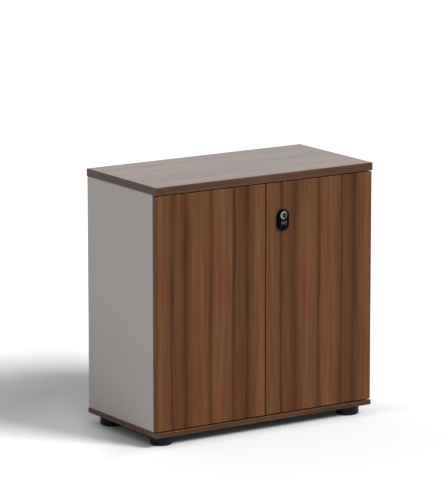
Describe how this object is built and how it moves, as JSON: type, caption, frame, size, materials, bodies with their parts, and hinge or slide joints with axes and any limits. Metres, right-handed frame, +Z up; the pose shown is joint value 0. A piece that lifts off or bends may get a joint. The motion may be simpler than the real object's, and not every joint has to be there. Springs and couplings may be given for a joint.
{
  "type": "storage cabinet",
  "caption": "Low office storage cabinet with plain walnut-look doors on concealed hinges, warm grey sides, a small black number lock and round levelling feet.",
  "frame": {"origin": "on the floor, below the centre of the bounding box", "axes": "+X to the right seen from the front, -Y out of the doors, +Z up"},
  "size_m": [0.8, 0.412, 0.809],
  "materials": {
    "walnut_board": "walnut-grained melamine board, satin",
    "walnut_edge": "matching edging, satin",
    "grey_board": "warm grey melamine board",
    "grey_edge": "matching edging, satin",
    "beech": "raw",
    "zinc": "as cast",
    "nickel": "nickel plated",
    "steel": "bright zinc plated",
    "lock_black": "semi gloss",
    "wheel_black": "matt",
    "chrome": "polished",
    "foot_black": "semi gloss"
  },
  "bodies": {
    "carcass": {"top_panel": "walnut_board", "top_edge_band": "walnut_edge", "base_panel": "walnut_board", "base_edge_band": "walnut_edge", "left_side_panel": "grey_board", "right_side_panel": "grey_board", "left_side_edge_band": "grey_edge", "right_side_edge_band": "grey_edge", "back_panel": "grey_board", "shelf_panel": "grey_board", "shelf_edge_band": "grey_edge", "shelf_pegs": "nickel", "cam_fittings": "zinc", "cam_studs": "steel", "wood_dowels": "beech", "left_hinge_plates": "nickel", "right_hinge_plates": "nickel", "left_hinge_arms": "nickel", "right_hinge_arms": "nickel", "plate_screws": "steel", "arm_screws": "steel", "foot_inserts": "zinc", "bolt_keeper": "nickel", "keeper_screws": "steel"},
    "left_door": {"left_door_panel": "walnut_board", "left_door_edge_band": "walnut_edge", "left_hinge_cups": "nickel", "left_hinge_pins": "steel", "left_cup_screws": "steel", "strike_plate": "nickel", "strike_screws": "steel", "bolt_body": "nickel", "bolt_screws": "steel"},
    "right_door": {"right_door_panel": "walnut_board", "right_door_edge_band": "walnut_edge", "right_hinge_cups": "nickel", "right_hinge_pins": "steel", "right_cup_screws": "steel", "lock_housing": "lock_black", "lock_nut": "steel", "dial_axle": "steel"},
    "knob": {"lock_knob": "lock_black", "knob_ring": "chrome", "lock_cam": "steel", "cam_screw": "steel"},
    "bolt": {"bolt_rod": "nickel"},
    "left_wheel": {"number_wheel_left": "wheel_black"},
    "middle_wheel": {"number_wheel_middle": "wheel_black"},
    "right_wheel": {"number_wheel_right": "wheel_black"},
    "front_left_foot": {"foot_front_left": "foot_black", "stem_front_left": "steel"},
    "front_right_foot": {"foot_front_right": "foot_black", "stem_front_right": "steel"},
    "back_left_foot": {"foot_back_left": "foot_black", "stem_back_left": "steel"},
    "back_right_foot": {"foot_back_right": "foot_black", "stem_back_right": "steel"}
  },
  "joints": [
    {"name": "left_door_swing", "type": "hinge", "parent": "carcass", "child": "left_door", "pos_m": [-0.39051, -0.185, 0.4165], "axis": [0, 0, -1], "range_deg": [0, 95]},
    {"name": "right_door_swing", "type": "hinge", "parent": "carcass", "child": "right_door", "pos_m": [0.39051, -0.185, 0.4165], "axis": [0, 0, 1], "range_deg": [0, 95]},
    {"name": "knob_turn", "type": "hinge", "parent": "right_door", "child": "knob", "pos_m": [0.061, -0.19, 0.6785], "axis": [0, 1, 0], "range_deg": [0, 90]},
    {"name": "bolt_slide", "type": "slide", "parent": "left_door", "child": "bolt", "axis": [0, 0, 1], "range_m": [0, 0.012]},
    {"name": "left_wheel_turn", "type": "hinge", "parent": "right_door", "child": "left_wheel", "pos_m": [0.053, -0.1928, 0.654], "axis": [1, 0, 0], "continuous": true},
    {"name": "middle_wheel_turn", "type": "hinge", "parent": "right_door", "child": "middle_wheel", "pos_m": [0.061, -0.1928, 0.654], "axis": [1, 0, 0], "continuous": true},
    {"name": "right_wheel_turn", "type": "hinge", "parent": "right_door", "child": "right_wheel", "pos_m": [0.069, -0.1928, 0.654], "axis": [1, 0, 0], "continuous": true},
    {"name": "front_left_foot_level", "type": "slide", "parent": "carcass", "child": "front_left_foot", "axis": [0, 0, -1], "range_m": [0, 0.008]},
    {"name": "front_right_foot_level", "type": "slide", "parent": "carcass", "child": "front_right_foot", "axis": [0, 0, -1], "range_m": [0, 0.008]},
    {"name": "back_left_foot_level", "type": "slide", "parent": "carcass", "child": "back_left_foot", "axis": [0, 0, -1], "range_m": [0, 0.008]},
    {"name": "back_right_foot_level", "type": "slide", "parent": "carcass", "child": "back_right_foot", "axis": [0, 0, -1], "range_m": [0, 0.008]}
  ]
}
